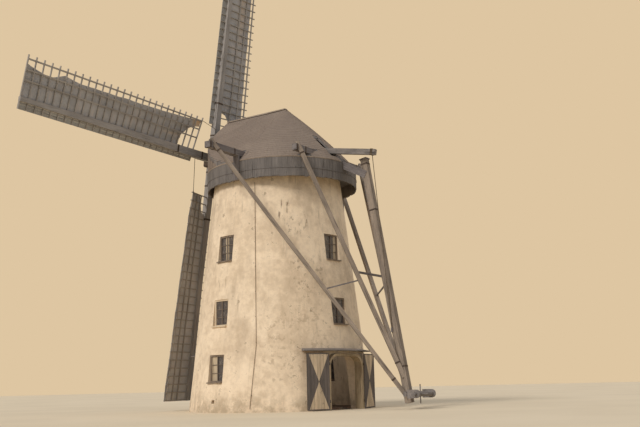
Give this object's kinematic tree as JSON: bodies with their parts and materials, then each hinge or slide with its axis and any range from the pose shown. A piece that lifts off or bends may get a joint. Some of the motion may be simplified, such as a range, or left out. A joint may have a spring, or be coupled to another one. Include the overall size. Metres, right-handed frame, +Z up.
{
  "type": "traditional windmill",
  "caption": "Whitewashed round tower windmill: turning boarded cap, twisted cloth-set lattice sails, braced tail pole with winch, arched doorway with open leaves.",
  "frame": {"origin": "on the tower's axis at ground level, in the plane that the walls stand on", "axes": "+Z up, the sails face -Y and the tail pole stands at +Y"},
  "size_m": [24.7486, 13.8995, 25.0216],
  "materials": {
    "whitewash": "lime wash on rubble masonry, flaking",
    "weathered_wood": "bare weathered timber",
    "pale_wood": "sun-bleached squared timber",
    "roof_boards": "weathered boards laid up the slope",
    "painted_wood": "worn light paint",
    "dark_boards": "dark tarred boards",
    "sailcloth": "coarse weathered canvas",
    "rope": "tarred hemp",
    "iron": "dull, rusty",
    "wire": "dull galvanised wire",
    "glass": "dusty pane",
    "floor_bricks": "worn brick paving"
  },
  "bodies": {
    "tower": {"lower_wall_left_rear": "whitewash", "lower_wall_left": "whitewash", "lower_wall_left_front": "whitewash", "lower_wall_right_front": "whitewash", "lower_wall_right": "whitewash", "lower_wall_right_rear": "whitewash", "wall_over_door": "whitewash", "wall_over_back_door": "whitewash", "upper_wall_left": "whitewash", "upper_wall_door_side": "whitewash", "upper_wall_right": "whitewash", "upper_wall_back": "whitewash", "ground_floor": "floor_bricks", "upper_floors": "weathered_wood", "window_frames": "painted_wood", "window_panes": "glass", "door_frames": "painted_wood", "door_hoods": "weathered_wood", "back_door_leaves": "dark_boards", "wall_wire": "wire", "curb_ring": "weathered_wood", "door_pintles": "iron", "wire_clips": "iron"},
    "cap": {"cap_ring": "weathered_wood", "cap_timbers": "weathered_wood", "cap_skirt": "dark_boards", "cap_roof": "roof_boards", "cap_front": "dark_boards", "long_beam": "pale_wood", "beam_posts": "pale_wood", "short_beam": "pale_wood", "tail_beam": "pale_wood", "tail_pole": "pale_wood", "long_braces": "pale_wood", "short_braces": "pale_wood", "tail_ties": "pale_wood", "winch_frame": "weathered_wood", "rope_cleat": "weathered_wood"},
    "sails": {"windshaft": "weathered_wood", "poll_end": "iron", "outer_stock": "weathered_wood", "inner_stock": "weathered_wood", "sail_frames": "weathered_wood", "lead_boards": "weathered_wood", "sail_cloths": "sailcloth", "sail_stays": "rope"},
    "winch_drum": {"winch_drum": "weathered_wood"},
    "brake_lever": {"brake_lever": "weathered_wood", "brake_rope": "rope"},
    "door_left": {"door_leaf_left": "dark_boards"},
    "door_right": {"door_leaf_right": "dark_boards"}
  },
  "joints": [
    {"name": "cap_turn", "type": "hinge", "parent": "tower", "child": "cap", "pos_m": [0, 0, 10.99515], "axis": [0, 0, 1], "continuous": true},
    {"name": "sails_spin", "type": "hinge", "parent": "cap", "child": "sails", "pos_m": [0, -4.08, 12.713], "axis": [0, -0.9919, 0.1271], "continuous": true},
    {"name": "winch_spin", "type": "hinge", "parent": "cap", "child": "winch_drum", "pos_m": [0, 7.57598, 0.64], "axis": [1, 0, 0], "continuous": true},
    {"name": "brake_lift", "type": "hinge", "parent": "cap", "child": "brake_lever", "pos_m": [0.45, 1.7, 12.22], "axis": [1, 0, 0], "range_deg": [0, 6]},
    {"name": "door_left_swing", "type": "hinge", "parent": "tower", "child": "door_left", "pos_m": [1.73771, 3.95767, 0.03], "axis": [0, 0, 1], "range_deg": [0, 196]},
    {"name": "door_right_swing", "type": "hinge", "parent": "tower", "child": "door_right", "pos_m": [-0.57951, 4.28334, 0.03], "axis": [0, 0, 1], "range_deg": [-196, 0]}
  ]
}
